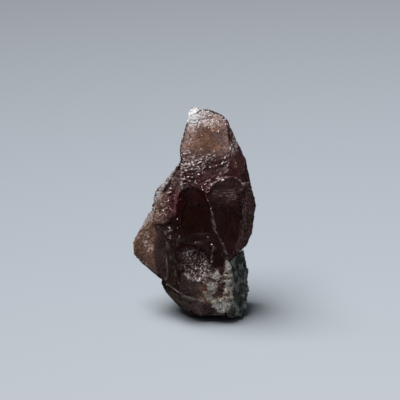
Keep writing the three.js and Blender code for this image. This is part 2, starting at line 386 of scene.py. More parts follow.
def scatter(cell, seed):
    """Three even random numbers for each whole-number cell, from a fixed mixing of its address."""
    mixed = (cell[..., 0] * 73856093) ^ (cell[..., 1] * 19349663) ^ (cell[..., 2] * 83492791)
    mixed = (mixed + seed * 2654435761) & 0xFFFFFFFF
    numbers = []
    for step in (0x9E3779B1, 0x85EBCA6B, 0xC2B2AE35):
        mixed = ((mixed ^ (mixed >> 15)) * step) & 0xFFFFFFFF
        mixed = mixed ^ (mixed >> 13)
        numbers.append(mixed / 4294967296.0)
    return np.stack(numbers, -1)


LATTICE_TURN = np.array([(0.36, 0.48, -0.8), (-0.8, 0.6, 0), (0.48, 0.64, 0.6)])


def swell(points, size, seed):
    """Smooth noise from -1 to 1: random heights on a turned cubic lattice of the given size, eased
    in between."""
    spot = points @ LATTICE_TURN.T / size
    cell = np.floor(spot).astype(np.int64)
    part = spot - cell
    ease = part * part * part * (part * (part * 6 - 15) + 10)
    total = np.zeros(len(points))
    for corner in np.ndindex(2, 2, 2):
        corner = np.array(corner)
        height = scatter(cell + corner, seed)[:, 0]
        total += height * np.prod(np.where(corner == 1, ease, 1 - ease), axis=1)
    return total * 2 - 1


def layered(points, size, layers, seed):
    """Swells added up, each layer half the size and half the height of the last."""
    return sum(swell(points, size / 2 ** k, seed + 17 * k) / 2 ** k for k in range(layers))


def shards(points, size, seed):
    """Splits space into random cells: offset from the nearest seed, its three numbers, and the
    distance to the border with the next cell."""
    spot = points / size
    cell = np.floor(spot).astype(np.int64)
    best = np.full(len(points), FAR_OFF)
    second = np.full(len(points), FAR_OFF)
    offset = np.zeros_like(points)
    number = np.zeros_like(points)
    for corner in np.ndindex(3, 3, 3):
        home = cell + (np.array(corner) - 1)
        away = spot - (home + 0.15 + 0.7 * scatter(home, seed))
        far = np.einsum("ij,ij->i", away, away)
        nearer = far < best
        second = np.where(nearer, best, np.minimum(second, far))
        offset = np.where(nearer[:, None], away, offset)
        number = np.where(nearer[:, None], scatter(home, seed + 991), number)
        best = np.where(nearer, far, best)
    return offset, number, np.sqrt(second) - np.sqrt(best)


def chipped_facets(points, size, tilt, seed):
    """Height of small flat breaks: each cell is one tilted plane with its own level."""
    offset, number, _ = shards(points, size, seed)
    lean = (number - 0.5) * 2
    return size * tilt * (np.einsum("ij,ij->i", offset, lean) + 0.35 * (number[:, 0] - 0.5))


def fade(value, low, high):
    """0 below low, 1 above high, eased between."""
    part = np.clip((value - low) / (high - low), 0, 1)
    return part * part * (3 - 2 * part)


CRYSTAL_COLUMNS = 270
CRYSTAL_ROWS = 364
SPINE = [(1.4, 0.3, 3.4), (0.8, 0.6, 12), (2.0, 1.0, 20), (2.2, 1.8, 28), (2.0, 2.5, 31.6)]
TOP_LIMIT = 34.6  # chips and waves stand out no farther than these
SIDE_LIMIT = 10.3

hulls = {name: hull_planes(corners) for name, corners in BLADES.items()}


def outermost(start, way):
    """Where each ray finally leaves the blades: distance, blade, whether in a scoop, outward normal."""
    reach = np.full(len(way), -1.0)
    owner = np.zeros(len(way), int)
    scooped = np.zeros(len(way), bool)
    normal = np.zeros_like(way)
    for index, name in enumerate(BLADE_NAMES):
        out, facet = cast_to_hull(start, way, hulls[name])
        outward = hulls[name][0][facet]
        hollow = np.zeros(len(way), bool)
        if name in SCOOPS:
            touch = first_touch(start, way, SCOOPS[name])
            hollow = (touch < out) & (out > 0)
            out = np.where(hollow, touch, out)
            centre, radii = np.array(SCOOPS[name], float)
            inward = (start + way * np.where(hollow, touch, 1.0)[:, None] - centre) / radii ** 2
            inward /= -np.linalg.norm(inward, axis=1)[:, None]
            outward = np.where(hollow[:, None], inward, outward)
        farther = out > reach
        reach = np.where(farther, out, reach)
        owner = np.where(farther, index, owner)
        scooped = np.where(farther, hollow, scooped)
        normal = np.where(farther[:, None], outward, normal)
    return reach, owner, scooped, normal


start, way = ray_fan(CRYSTAL_COLUMNS, CRYSTAL_ROWS, SPINE, turn_low=-14, turn_high=22, crowding=0.38,
                     caps=(0.12, 0.86))
reach, owner, scooped, normal = outermost(start, way)
skin = start + way * reach[:, None]

# Broken edges wander: each ray is shifted a little within its own facet before it is cast again,
# so facets stay flat while the borders between them turn ragged.
wander = np.stack([0.22 * layered(skin, 2.4, 2, 101 + k) + 0.10 * swell(skin, 0.8, 111 + k)
                   for k in range(3)], -1)
wander -= normal * np.einsum("ij,ij->i", wander, normal)[:, None]
reach, owner, scooped, normal = outermost(start + wander, way)
skin = start + way * reach[:, None]


def own(name):
    """1 where the named blade is the outermost one."""
    return (owner == BLADE_NAMES.index(name)).astype(float)


def along(plane, within=0.25):
    """1 on the named crystal face, fading to 0 a little way off it."""
    behind = np.abs(skin[:, 1] - plane(skin[:, 0], skin[:, 2])[1])
    return 1 - fade(behind, within * 0.5, within)


def edges():
    """For each point, how far off the nearest sharp edge of its own blade is, how deep the point lies
    under the facet beyond that edge, and how fast its ray crosses a bevel between the two."""
    nearest = np.full(len(skin), FAR_OFF)
    beneath = np.full(len(skin), FAR_OFF)
    crossing = np.ones(len(skin))
    for index, name in enumerate(BLADE_NAMES):
        mine = np.flatnonzero(owner == index)
        facing, offset = hulls[name]
        depth = np.clip(offset[None, :] - skin[mine] @ facing.T, 0, None)
        cosine = normal[mine] @ facing.T
        sine = np.sqrt(np.clip(1 - cosine ** 2, 1e-4, None))
        apart = np.where(cosine < 0.97, depth / sine, FAR_OFF)
        beyond = apart.argmin(1)
        row = np.arange(len(mine))
        nearest[mine] = apart[row, beyond]
        beneath[mine] = depth[row, beyond]
        crossing[mine] = np.einsum("ij,ij->i", normal[mine] + facing[beyond], way[mine])
    return nearest, beneath, np.clip(crossing, 0.3, None)


def ridges():
    """1 where a neighbour up, down, left or right in the fan lies on another facet and the two
    facets meet in an outward edge, 0 inside a facet and in inward corners."""
    grid = (CRYSTAL_ROWS, CRYSTAL_COLUMNS, 3)
    facing, spot = normal.reshape(grid), skin.reshape(grid)
    found = np.zeros(grid[:2])
    for axis, step in ((0, 1), (0, -1), (1, 1), (1, -1)):
        turned = facing - np.roll(facing, step, axis)
        apart = spot - np.roll(spot, step, axis)
        outward = (turned * apart).sum(-1) > 0
        found = np.maximum(found, outward * fade((turned ** 2).sum(-1), 0.01, 0.08))
    return found.reshape(-1)


def rim_of(name):
    """Distance to the rim of a blade's scoop, measured from outside the ball and from inside the break."""
    centre, radii = np.array(SCOOPS[name], float)
    outside = (np.linalg.norm((skin - centre) / radii, axis=1) - 1) * radii.mean()
    facing, offset = hulls[name]
    inside = np.clip(offset[None, :] - skin @ facing.T, 0, None).min(1) * 2.0
    return np.where(own(name) > 0, np.where(scooped, inside, np.abs(outside)), FAR_OFF)


def patch(x, z, wide, tall, seed, ragged=0.35):
    """1 inside an oval on the front, fading out across a ragged border."""
    apart = np.hypot((skin[:, 0] - x) / wide, (skin[:, 2] - z) / tall)
    return 1 - fade(apart + ragged * layered(skin, 1.3, 3, seed), 0.55, 1.15)


x, y, z = skin.T
front = 1 - fade(y, -0.5, 1.5)
upward = fade(z, 23.6, 26.0)

# Where each surface of the crystal lies, from 0 to 1. The crown and the stepped band below it
# share the top of the spire.
on_top = own("spire") * np.maximum(along(crown), along(steps))
high = fade(z + 0.7 * layered(skin, 2.2, 3, 106), 26.7, 27.9)
on_crown = on_top * high
on_band = on_top * (1 - high)
on_flank = own("spire") * (1 - on_top)
on_blade = own("shield") * along(blade)
right_side = own("shield") * (1 - on_blade) * front
top_rim = right_side * fade(z, 22.0, 23.0)
in_middle = own("core") * scooped
on_wall = own("core") * along(wall) * (1 - scooped)
on_shoulder = own("core") * (1 - scooped) * fade(-x, 2.2, 2.5) * fade(z, 17.2, 18.4)
on_kick = own("foot") * along(kick)
on_strip = own("foot") * front * (1 - fade(x, -3.3, -2.9))
on_leaf = own("lobe") * along(leaf, 0.6)
tan_side = fade(-x + 0.4 * layered(skin, 1.8, 3, 108), 6.3, 6.9)
on_wing = own("wing") * along(wing, 0.8)
left_flank = own("lobe") * (1 - on_leaf) + own("wing") * (1 - on_wing)
left_flank *= (1 - fade(y, 1.5, 3.0)) * fade(z, 12.5, 14.0) * fade(-x, 4.2, 5.4)
on_back_wing = own("back_wing") * (1 - fade(y + 0.8 * layered(skin, 1.5, 3, 131), 1.9, 3.1))
on_knob = own("knob") * (1 - 0.8 * fade(y + 0.5 * layered(skin, 0.8, 2, 132), 2.7, 3.4))
on_base = (normal[:, 2] < -0.98) * (z < 0.2 - STAND)
edge, beneath, crossing = edges()
ridge = ridges()
rim = np.minimum(rim_of("core"), rim_of("foot"))

# The rough part of the break in the foot runs in patches from its upper left to its lower lip.
in_break = own("foot") * front * np.clip(
    patch(-1.0, 10.9, 1.7, 1.5, 96, 0.6) + patch(-0.6, 8.9, 2.4, 1.5, 97, 0.6)
    + patch(1.3, 8.4, 2.0, 1.7, 98, 0.6) + 0.8 * patch(0.4, 10.5, 1.2, 1.0, 135), 0, 1)

# Two places in the stepped band are smoother and darker than the rest.
calm = np.clip(patch(3.9, 25.7, 1.7, 1.9, 125) + 0.7 * patch(1.8, 24.1, 2.3, 1.4, 124), 0, 1)
hackly = on_band * (0.40 + 0.45 * upward) * (1 - 0.6 * calm) + 0.9 * in_break + 0.75 * on_wing
hackly += 0.07 * on_crown + on_leaf * (0.05 + 0.10 * tan_side) + 0.7 * on_wall * fade(z, 17.0, 19.0)
hackly += 0.3 * on_back_wing + 0.45 * right_side + 0.6 * top_rim + 0.3 * (1 - front)
hackly = np.clip(hackly, 0, 1)
glassy = on_blade + in_middle + front * (own("foot") + own("lobe") * (1 - tan_side)) - in_break
glassy = np.clip(glassy, 0, 1)

# Rows of small steps that bow downward in the middle run across the band below the crown.
bowed = z - 0.06 * (x - 0.5) ** 2 + 0.30 * layered(skin, 3.0, 2, 31) + 0.14 * layered(skin, 0.9, 2, 34)
row_space = np.stack([x * 0.30, y * 0.6, bowed * 1.5], -1)

# Height of the real surface over the flat facets: broad waves, hackly chips, ledges across the
# band, rings round the point where a blow broke the middle, and growth lines on the blade.
LEDGE_SPACING = 0.8
LEDGE_HEIGHT = 0.16
STRIKE_POINT = np.array([3.2, -4.6, 23.6])
RING_RATE = 5.2  # radians of wave in each millimetre
RING_HEIGHT = 0.018
GROWTH_SPACING = 0.42
GROWTH_HEIGHT = 0.05

height = 0.10 * layered(skin, 5.0, 2, 3) * (1 - 0.75 * on_blade)
height += 0.030 * layered(skin, 1.1, 3, 11) * (1 - 0.9 * glassy) * (1 - 0.7 * on_crown)
height += on_band * (1 - 0.7 * calm) * (chipped_facets(row_space, 0.60, 0.22, 21)
                                        + chipped_facets(row_space, 0.34, 0.42, 28))
elsewhere = (hackly - on_band).clip(0)
height += elsewhere * (chipped_facets(skin, 0.80, 0.34, 23) + chipped_facets(skin, 0.33, 0.45, 22))
ledge = bowed / LEDGE_SPACING
ledges = on_band * fade(layered(skin, 1.6, 2, 33), -0.4, 0.4)
height += ledges * LEDGE_HEIGHT * (ledge - np.floor(ledge) - 0.5)
rings = np.sin(RING_RATE * np.linalg.norm(skin - STRIKE_POINT, axis=1) + 1.2 * swell(skin, 2.0, 41))
height += in_middle * RING_HEIGHT * rings
growth = (z + 0.05 * x + 0.20 * layered(skin, 3.0, 3, 51)) / GROWTH_SPACING
striae = on_blade * fade(z, 19.4, 20.6) * (1 - fade(z, 22.2, 22.8))
striae *= fade(layered(skin, 1.2, 3, 52), -0.2, 0.6)
height += striae * GROWTH_HEIGHT * (growth - np.floor(growth) - 0.5)

# Chips along the edges: each cell bevels its stretch of edge to a depth of its own.
_, number, _ = shards(skin, 0.55, 61)
bevel = (0.03 + 0.42 * number[:, 0] ** 5) * (1 - 0.8 * on_back_wing - 0.5 * on_crown)
chipped = np.clip(bevel - beneath, 0, None) * (1 - on_base)
height -= np.clip(chipped / crossing, 0, 0.4)
height += on_knob * 0.16 * layered(skin, 0.6, 2, 71)
height *= 1 - on_base

facing = np.clip(np.einsum("ij,ij->i", normal, way), 0.35, 1)
skin_out = skin + way * (height / facing)[:, None]
skin_out[:, 2] = np.clip(skin_out[:, 2], -STAND, TOP_LIMIT)
skin_out[:, 0] = np.clip(skin_out[:, 0], -SIDE_LIMIT, SIDE_LIMIT)


def wrap_faces(columns, rows):
    """Quads round and up the fan. The first and last rows are single points, so they close with
    triangles; each face is wound to look outward."""
    ring = np.arange(columns)
    after = (ring + 1) % columns
    level = np.arange(1, rows - 2)[:, None] * columns
    quads = np.stack([level + ring, level + after, level + columns + after, level + columns + ring], -1)
    return quads.reshape(-1, 4), ring, after


def fan_mesh(name, points, columns, rows):
    """Turns a ray fan's grid of points into one closed mesh with a single vertex at each end."""
    quads, ring, after = wrap_faces(columns, rows)
    top = (rows - 1) * columns
    low_cap = np.stack([np.zeros(columns, int), columns + after, columns + ring], -1)
    high_cap = np.stack([np.full(columns, top), top - columns + ring, top - columns + after], -1)
    corners = np.concatenate([quads.reshape(-1), low_cap.reshape(-1), high_cap.reshape(-1)])
    sizes = np.concatenate([np.full(len(quads), 4), np.full(2 * columns, 3)])
    used, corners = np.unique(corners, return_inverse=True)
    mesh = bpy.data.meshes.new(name)
    mesh.vertices.add(len(used))
    mesh.loops.add(len(corners))
    mesh.polygons.add(len(sizes))
    placed = (points[used] + (0, 0, STAND)) * MM
    mesh.vertices.foreach_set("co", placed.astype(np.float32).reshape(-1))
    mesh.loops.foreach_set("vertex_index", corners.astype(np.int32))
    mesh.polygons.foreach_set("loop_start", np.r_[0, np.cumsum(sizes)[:-1]].astype(np.int32))
    mesh.update(calc_edges=True)
    mesh.shade_smooth()
    piece = bpy.data.objects.new(name, mesh)
    bpy.context.scene.collection.objects.link(piece)
    return piece, used


def store(piece, name, values):
    """Keeps one number per vertex under a name that the material reads."""
    layer = piece.data.attributes.new(name, "FLOAT", "POINT")
    layer.data.foreach_set("value", np.asarray(values, np.float32))


crystal, used = fan_mesh("grown_crystal", skin_out, CRYSTAL_COLUMNS, CRYSTAL_ROWS)
crystal.data.set_sharp_from_angle(angle=np.radians(30))


def line(off, width):
    """1 on a line, falling away as a bell curve of the given width with the distance off it."""
    return np.exp(-(off / width) ** 2)


def broken(size, seed, low=-0.3, high=0.5):
    """Stretches of 1 and 0 with soft ends, to break a line into pieces."""
    return fade(layered(skin, size, 2, seed), low, high)


# Bruised edges are thin white lines, partly real bruising and partly painted highlights along the
# ridges; the lower lip of the break in the foot is the brightest, a painted highlight where light
# from above catches it.
lip_white_and_highlight = line(rim, 0.11)
lip_white_and_highlight *= np.where(own("core") > 0, 0.25 * (1 - fade(z, 14.2, 15.2)) * broken(0.9, 81, 0.0, 0.6),
                (1 - fade(z, 8.0, 8.6)) * broken(0.45, 87, -0.7, 0.2))
below = z + 0.44 * np.minimum(x, 0.2)
on_low_rim = own("foot") * front * fade(below, 3.20, 3.35) * (1 - fade(below, 3.95, 4.15))
left_rim = own("shield") * (1 - fade(x, 5.0, 6.2)) * front
right_rim = own("shield") * fade(x, 7.0, 7.4) * (1 - fade(z, 20.0, 20.8))
notch = own("spire") * front * fade(x, 4.2, 4.8) * fade(z, 24.5, 25.2) * (1 - fade(z, 28.8, 29.4))
ridge_white_and_highlight = 0.5 * notch * broken(0.5, 116) + left_rim * (0.12 + 0.45 * broken(0.4, 92, -0.4, 0.4))
ridge_white_and_highlight += 0.2 * top_rim * (1 - fade(x, 7.4, 8.0)) * broken(0.6, 93) + 0.3 * right_rim * broken(0.6, 119)
ridge_white_and_highlight += (0.2 * own("foot") + 0.3 * (own("wing") + own("lobe")) + 0.7 * own("back_wing")) * broken(0.7, 94)
ridge_white_and_highlight += 0.45 * on_low_rim * (0.5 + 0.6 * broken(0.5, 94))
ridge_white_and_highlight = ridge * np.clip(ridge_white_and_highlight, 0, 1)
chip_white = 0.6 - 0.6 * glassy - own("foot") - 0.4 * own("back_wing") - 0.3 * on_crown
chip_white -= 0.5 * own("wing") * (1 - fade(z, 17.0, 18.0)) + 0.5 * own("core") * (1 - fade(z, 19.0, 20.0))
bruise_and_highlight = fade(chipped, 0.0, 0.10) * number[:, 1] * np.clip(chip_white, 0, 1)
bruise_and_highlight = np.maximum(bruise_and_highlight, np.maximum(lip_white_and_highlight, ridge_white_and_highlight))

# Small marks: flecks lie along the steps, crumbs are soft lumps, grains and sparks are specks.
# On the stepped band the pale flecks and sparks are partly chipped white glass and partly painted glints.
flecks = fade(layered(row_space, 0.34, 3, 82), 0.26, 0.50)
crumbs = fade(layered(skin, 0.32, 3, 83), 0.18, 0.52)
_, dots, _ = shards(skin, 0.21, 103)
grains = fade(dots[:, 0], 0.40, 0.85)
sparks = fade(dots[:, 1], 0.66, 0.90)

# A thin seam runs down the left of the foot, and a sill crosses under the upper break.
seam = line(x + 4.6 + 0.12 * layered(skin, 1.5, 2, 109), 0.08) * (own("foot") + own("lobe"))
seam *= front * fade(z, 5.4, 6.2) * (1 - fade(z, 13.2, 14.4))
sill = line(z - 14.6 + 0.15 * layered(skin, 1.5, 2, 128), 0.09)
sill *= (y < -3) * fade(-x, -2.6, -1.8)

# Pale threads, partly splintered glass and partly painted glints, are woven along the steps, most of them
# in the upper part.
top_white = patch(0.2, 33.2, 3.9, 2.1, 84)
weave = 0.25 + 0.45 * layered(skin, 1.2, 2, 99) + 0.25 * upward - 1.1 * calm
weave += 0.35 * swell(np.stack([0.3 * x, 0 * x, bowed], -1), 1.1, 101)
weave += 0.55 * patch(-1.1, 26.2, 1.5, 0.9, 121, 0.6) + 0.80 * patch(1.2, 27.1, 2.8, 0.8, 122, 0.6)
weave += 0.45 * patch(1.0, 25.7, 1.5, 0.6, 123, 0.6) - 0.5 * patch(2.6, 24.4, 1.6, 0.9, 136)
weave = np.clip(weave, 0, 1) * (0.45 + 0.55 * upward)
weave *= on_band + 0.6 * on_crown * (1 - fade(z, 28.4, 29.8))
weave = np.maximum(weave, on_crown * (0.07 + 0.50 * top_white))

# A crease runs straight down the left end of the band; its right side carries a painted white
# highlight and its left side painted shade. Its ends are set by the height over a plane that rises
# twenty degrees toward the front.
tall = z + 0.364 * y
painted_crease = front * fade(tall, 20.3, 21.2) * (1 - fade(tall, 24.9, 25.7))

# Frost is how white and crushed the surface is, from the solid knob to single specks; it also holds
# painted highlights on the steps, in the crease and along the lower lip of the foot's break.
inner = fade(edge, 0.08, 0.32)
leftward = fade(-x, 3.4, 6.0)
frost_and_highlight = on_knob * (0.75 + 0.25 * fade(z, 32.3, 33.4))
frost_and_highlight += on_crown * inner * (0.03 + 0.85 * top_white * (0.34 + 0.30 * grains) + 0.07 * grains
                             + 0.11 * (grains + sparks) * fade(-x, -1.8, 0.8))
frost_and_highlight += on_band * (0.02 + 0.10 * sparks + 0.10 * flecks)
frost_and_highlight += on_wing * crumbs * (0.12 + 0.22 * leftward) * fade(z, 16.0, 17.5)
frost_and_highlight += on_shoulder * (0.04 + 0.16 * crumbs) + left_flank * (0.25 + 0.4 * grains)
frost_and_highlight += 0.40 * on_wall * crumbs * fade(z, 18.0, 20.0) * (1 - 0.8 * fade(x, 0.4, 1.4))
# The extra sparks near the lower rim of the break are a painted highlight where light from above catches
# the lip.
frost_and_highlight += in_break * (0.01 + sparks * (0.48 + line(rim, 0.45) * (1 - fade(z, 8.2, 9.2))) + 0.12 * crumbs
                     + 0.8 * sparks * patch(-1.0, 11.2, 0.9, 0.7, 114))
frost_and_highlight += on_back_wing * (0.33 + 0.6 * grains + 0.7 * sparks)
frost_and_highlight += on_leaf * tan_side * (0.03 + 0.12 * crumbs + 0.60 * grains * patch(-7.6, 11.7, 1.0, 2.0, 85))
# Painted highlight: a broken white line down the right side of the crease.
frost_and_highlight += 0.8 * painted_crease * line(x + 2.18, 0.13) * broken(0.5, 133, -0.5, 0.3)
frost_and_highlight += 0.5 * seam * broken(0.9, 107) + 0.16 * sill * broken(1.2, 129)
frost_and_highlight += own("spire") * grains * patch(6.4, 29.0, 0.8, 1.6, 115)
frost_and_highlight += right_side * (0.01 + 0.14 * crumbs + 0.22 * grains) + top_rim * (0.08 + 0.6 * grains)
frost_and_highlight += 0.45 * striae * line(growth - np.round(growth), 0.19)
frost_and_highlight += (1 - front) * (0.04 + 0.30 * crumbs) * fade(layered(skin, 4.0, 3, 130), -0.35, 0.35)

# Body is how cloudy the glass is just under its surface. Cloudy glass shows its tint.
red_rim = on_crown * fade(x + 0.24 * (z - 30) + 0.3 * layered(skin, 1.0, 2, 112), 5.2, 5.9)
stain = patch(1.9, 4.8, 1.5, 1.9, 88)
glow = patch(0.1, 21.3, 1.9, 1.9, 113)
banding = 0.08 + 0.05 * swell(np.stack([0.12 * x, 0 * x, z], -1), 0.45, 126)
body = on_crown * inner * (0.31 - 0.19 * red_rim) * (1 - 0.45 * patch(2.1, 29.9, 1.5, 1.9, 117))
body += 0.08 * on_band + on_wing * (0.12 + 0.10 * leftward) + 0.17 * on_shoulder + 0.15 * left_flank
body += 0.13 * on_flank * front + on_leaf * (0.06 + 0.11 * tan_side) + 0.07 * right_side + 0.10 * top_rim
body += 0.12 * own("foot") * (1 - fade(z, 4.0, 4.6)) + 0.26 * stain + 0.03 * in_break
body += on_wall * (0.02 + 0.13 * fade(z, 19.0, 20.5)) + 0.09 * on_kick + 0.04 * on_strip
body += on_blade * (0.02 + banding * fade(z, 19.5, 22.5)) + 0.05 * in_middle * glow
body *= 0.65 + 0.7 * fade(layered(skin, 1.8, 3, 104), -0.6, 0.6)

# Iron and manganese tint the glass tan, red or olive from place to place.
tan = on_crown * (0.25 + 0.75 * patch(2.0, 29.8, 3.0, 3.0, 86, 0.5) - red_rim) + on_leaf * tan_side
tan += 0.7 * on_wing * leftward + 0.8 * stain + 0.8 * on_flank * front * fade(z, 23, 26)
blush = patch(-3.0, 19.6, 1.6, 2.6, 89) + patch(1.4, 22.3, 1.3, 1.0, 90) + 0.8 * red_rim
blush += 0.8 * in_middle * glow + 0.8 * right_side + 0.3 * on_blade + 0.6 * on_flank * front
blush += (0.80 - 0.30 * upward) * on_band
olive = patch(9.3, 15.6, 1.2, 1.8, 91) + 0.25 * patch(-4.0, 15.0, 1.4, 1.8, 110) + 0.4 * on_strip
olive += 0.6 * own("foot") * patch(-1.7, 3.4, 1.9, 0.6, 118)
olive += 0.65 * in_middle * patch(-0.1, 16.6, 2.6, 2.5, 137)

# Painted shade: a dark line slants up to the right between the two wings, and the crease is
# painted dark at its left. Nothing pale lies in either of them.
painted_shade_line = 0.855 * (x + 2.45) - 0.518 * (tall - 25.0) + 0.10 * layered(skin, 0.8, 2, 134)
shade = 1.6 * line(painted_shade_line, 0.18 + 0.12 * (1 - fade(tall, 20.5, 23.5))) * (1 - fade(y, 3.5, 4.5))
shade *= fade(tall, 20.0, 20.6) * (1 - fade(tall, 24.6, 25.6))
shade = np.clip(shade + 0.8 * painted_crease * line(x + 2.50, 0.14), 0, 1)
frost_and_highlight *= 1 - shade
body *= 1 - shade
bruise_and_highlight *= 1 - shade
hackly *= 1 - 0.8 * shade
shade += 0.35 * on_crown * patch(2.0, 30.2, 0.5, 0.5, 127) + 0.3 * red_rim * crumbs
white = on_back_wing + on_knob + 0.8 * on_crown * patch(-0.2, 33.2, 3.4, 2.0, 105)
for name, values in {"frost_and_highlight": frost_and_highlight, "bruise_and_highlight": bruise_and_highlight, "hackly": hackly, "body": body, "tan": tan,
                     "blush": blush, "olive": olive, "glassy": glassy, "white": white,
                     "weave": weave, "shade": shade}.items():
    store(crystal, name, np.clip(values, 0, 1)[used])
store(crystal, "row", (bowed * MM)[used])

GLASS_IOR = 1.68
GLASS_CLEAR = 0.97  # how much light clean glass lets in
GLASS_GLOSS = 0.05  # roughness where it is clean
GLASS_TINT = (0.56, 0.24, 0.19, 1)
GLASS_TINT_DENSITY = 850.0
SKIN_BROWNS = [(0.30, (0.42, 0.25, 0.23)), (0.52, (0.60, 0.40, 0.38)), (0.72, (0.50, 0.30, 0.27))]
SKIN_TAN = (0.60, 0.31, 0.20)
SKIN_BLUSH = (0.50, 0.15, 0.16)
SKIN_OLIVE = (0.26, 0.21, 0.10)
BRUISE_AND_HIGHLIGHT_PINK = (0.88, 0.79, 0.77)
KNOB_WHITE = (0.98, 0.985, 1.0)
# Colour of the painted shade between the wings and in the crease.
PAINTED_SHADE_DARK = (0.03, 0.015, 0.015)
# How fine its patterns are, in waves or cells to the metre, and the depth of the grit in metres.
CLOUD_WAVES = 260
GRIT_WAVES = 1700
SPECKLE_WAVES = 3100
THREAD_WAVES = 3700
GLINT_CELLS = 4300
GRIT_DEPTH = 0.00009


def reading(tree, name):
    """A node that reads one of the piece's stored numbers."""
    return new_node(tree, "ShaderNodeAttribute", attribute_name=name).outputs["Fac"]


def toward(tree, colour, amount, target):
    """Mixes a colour toward a target colour by an amount."""
    node = new_node(tree, "ShaderNodeMix", data_type="RGBA")
    tree.links.new(amount, node.inputs["Factor"])
    tree.links.new(colour, node.inputs["A"])
    node.inputs["B"].default_value = (*target, 1)
    return node.outputs["Result"]


def glitter(tree, place, scale, amount):
    """A surface normal that leans a random way in each small cell of a cracked pattern."""
    cells = new_node(tree, "ShaderNodeTexVoronoi")
    cells.inputs["Scale"].default_value = scale
    tree.links.new(place, cells.inputs["Vector"])
    centred = new_node(tree, "ShaderNodeVectorMath", operation="SUBTRACT")
    tree.links.new(cells.outputs["Color"], centred.inputs[0])
    centred.inputs[1].default_value = (0.5, 0.5, 0.5)
    lean = new_node(tree, "ShaderNodeVectorMath", operation="SCALE")
    tree.links.new(centred.outputs[0], lean.inputs[0])
    tree.links.new(amount, lean.inputs["Scale"])
    leaned = new_node(tree, "ShaderNodeVectorMath", operation="ADD")
    tree.links.new(new_node(tree, "ShaderNodeNewGeometry").outputs["Normal"], leaned.inputs[0])
    tree.links.new(lean.outputs[0], leaned.inputs[1])
    level = new_node(tree, "ShaderNodeVectorMath", operation="NORMALIZE")
    tree.links.new(leaned.outputs[0], level.inputs[0])
    return level.outputs[0]


def bumped(tree, shader, height, strength, distance, lean=None):
    """Raises the shader's surface by a height pattern, distance in metres, over leaning cells if any."""
    bump = new_node(tree, "ShaderNodeBump")
    bump.inputs["Strength"].default_value = strength
    bump.inputs["Distance"].default_value = distance
    tree.links.new(height, bump.inputs["Height"])
    if lean is not None:
        tree.links.new(lean, bump.inputs["Normal"])
    tree.links.new(bump.outputs["Normal"], shader.inputs["Normal"])


axinite, tree, glass, place = new_finish("axinite_glass")
glass.inputs["IOR"].default_value = GLASS_IOR
absorb = new_node(tree, "ShaderNodeVolumeAbsorption")
absorb.inputs["Color"].default_value = GLASS_TINT
absorb.inputs["Density"].default_value = GLASS_TINT_DENSITY
tree.links.new(absorb.outputs["Volume"], tree.nodes["Material Output"].inputs["Volume"])

# White bruises are speckled, and white threads, partly painted glints, run along the rows of steps.
fine = noise(tree, place, SPECKLE_WAVES, 2, 0.6)
pale = reckon(tree, "MAXIMUM", reading(tree, "frost_and_highlight"), reading(tree, "bruise_and_highlight"))
pale = times(tree, pale, plus(tree, times(tree, fine, 1.9), 0.05), held=True)
across = new_node(tree, "ShaderNodeSeparateXYZ")
tree.links.new(place, across.inputs["Vector"])
along_rows = new_node(tree, "ShaderNodeCombineXYZ")
tree.links.new(times(tree, across.outputs["X"], 0.45), along_rows.inputs["X"])
tree.links.new(reading(tree, "row"), along_rows.inputs["Z"])
threads = noise(tree, along_rows.outputs["Vector"], THREAD_WAVES, 2, 0.6)
woven = reading(tree, "weave")
threads = plus(tree, plus(tree, threads, -0.65), times(tree, woven, 0.17))
threads = times(tree, threads, 9.0, held=True)
threads = times(tree, threads, times(tree, woven, 1.8, held=True))
pale = reckon(tree, "MAXIMUM", pale, threads)

colour = ramp(tree, noise(tree, place, CLOUD_WAVES, 4), SKIN_BROWNS)
colour = toward(tree, colour, reading(tree, "tan"), SKIN_TAN)
colour = toward(tree, colour, reading(tree, "blush"), SKIN_BLUSH)
colour = toward(tree, colour, reading(tree, "olive"), SKIN_OLIVE)
colour = toward(tree, colour, times(tree, pale, 0.9), BRUISE_AND_HIGHLIGHT_PINK)
colour = toward(tree, colour, times(tree, reading(tree, "white"), pale), KNOB_WHITE)
colour = toward(tree, colour, reading(tree, "shade"), PAINTED_SHADE_DARK)
tree.links.new(colour, glass.inputs["Base Color"])

cloud = times(tree, reading(tree, "body"), plus(tree, times(tree, fine, 3.4), -0.7))
milky = plus(tree, plus(tree, pale, reading(tree, "shade")), cloud, held=True)
clear = reckon(tree, "SUBTRACT", GLASS_CLEAR, times(tree, milky, 0.92))
tree.links.new(clear, glass.inputs["Transmission Weight"])
tree.links.new(plus(tree, GLASS_GLOSS, times(tree, pale, 0.30)), glass.inputs["Roughness"])
relief = times(tree, plus(tree, 0.12, reading(tree, "hackly")),
               reckon(tree, "SUBTRACT", 1.0, reading(tree, "glassy")))
bumped(tree, glass, times(tree, noise(tree, place, GRIT_WAVES, 3, 0.65), relief), 0.60, GRIT_DEPTH,
       glitter(tree, place, GLINT_CELLS, times(tree, reading(tree, "hackly"), 0.82)))
crystal.data.materials.append(axinite)

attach(crystal, "root")
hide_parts("axinite_crystal")


# ------------------------------------------------------------
# Feldspar crust. A thin ragged skin of sugary cream feldspar grown over the front of the foot,
# stained pink and ochre, held by its own growth into the crystal.
# ------------------------------------------------------------
CRUST = [
    (5.1, -5.2, 10.4), (4.3, -6, 9.4), (3.2, -6, 8.3), (1.0, -6.5, 7.2), (1.0, -6.5, 4.5), (3.0, -6.3, 1.4),
    (6.1, -6.2, 3.6), (4.5, -5.9, 0.4), (6.1, -5.8, 0.6), (6.4, -5.7, 9.6),
    (5.2, -3.2, 9.1), (3.6, -3.6, 7.4), (1.9, -4.2, 5.8), (3.5, -4.4, 2.9), (6.1, -4, 1.4)]
CRUST_COLUMNS = 220
CRUST_ROWS = 190
CRUST_SPINE = [(4.4, -4.9, 2.6), (4.6, -4.8, 7.8)]
